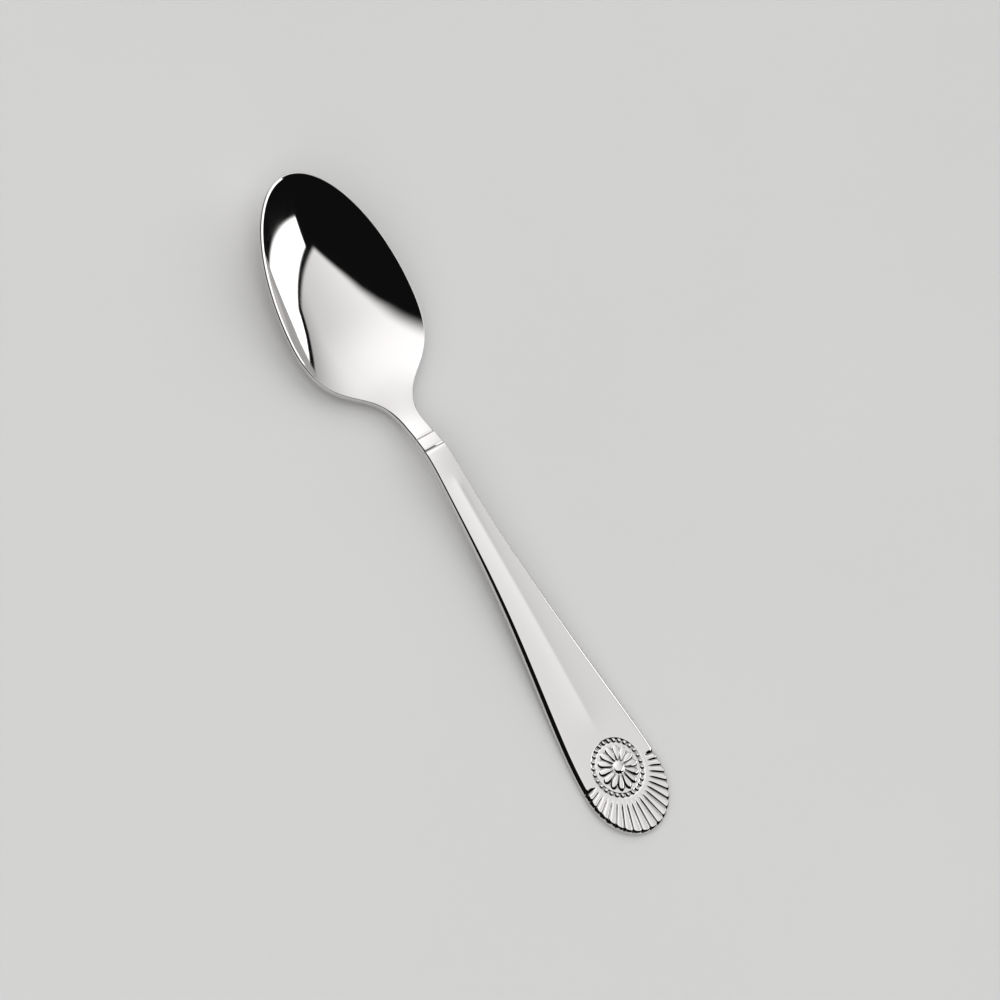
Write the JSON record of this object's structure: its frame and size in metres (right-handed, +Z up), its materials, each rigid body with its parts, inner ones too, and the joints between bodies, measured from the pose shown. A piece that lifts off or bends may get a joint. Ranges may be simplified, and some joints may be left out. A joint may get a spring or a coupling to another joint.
{
  "type": "soup spoon",
  "caption": "Polished steel soup spoon with an oval bowl, a slim stepped neck and a flat tapering handle that ends in a fan of shallow flutes.",
  "frame": {"origin": "on the table under the middle of the spoon's length and width, with the spoon lying as it rests", "axes": "+X along the spoon from the handle's end to the tip of the bowl, +Y across to the left of the bowl seen along +X, +Z up"},
  "size_m": [0.19, 0.0408, 0.0143],
  "materials": {
    "polished_steel": "mirror-polished stainless steel"
  },
  "bodies": {
    "root": {"spoon": "polished_steel"}
  },
  "joints": []
}
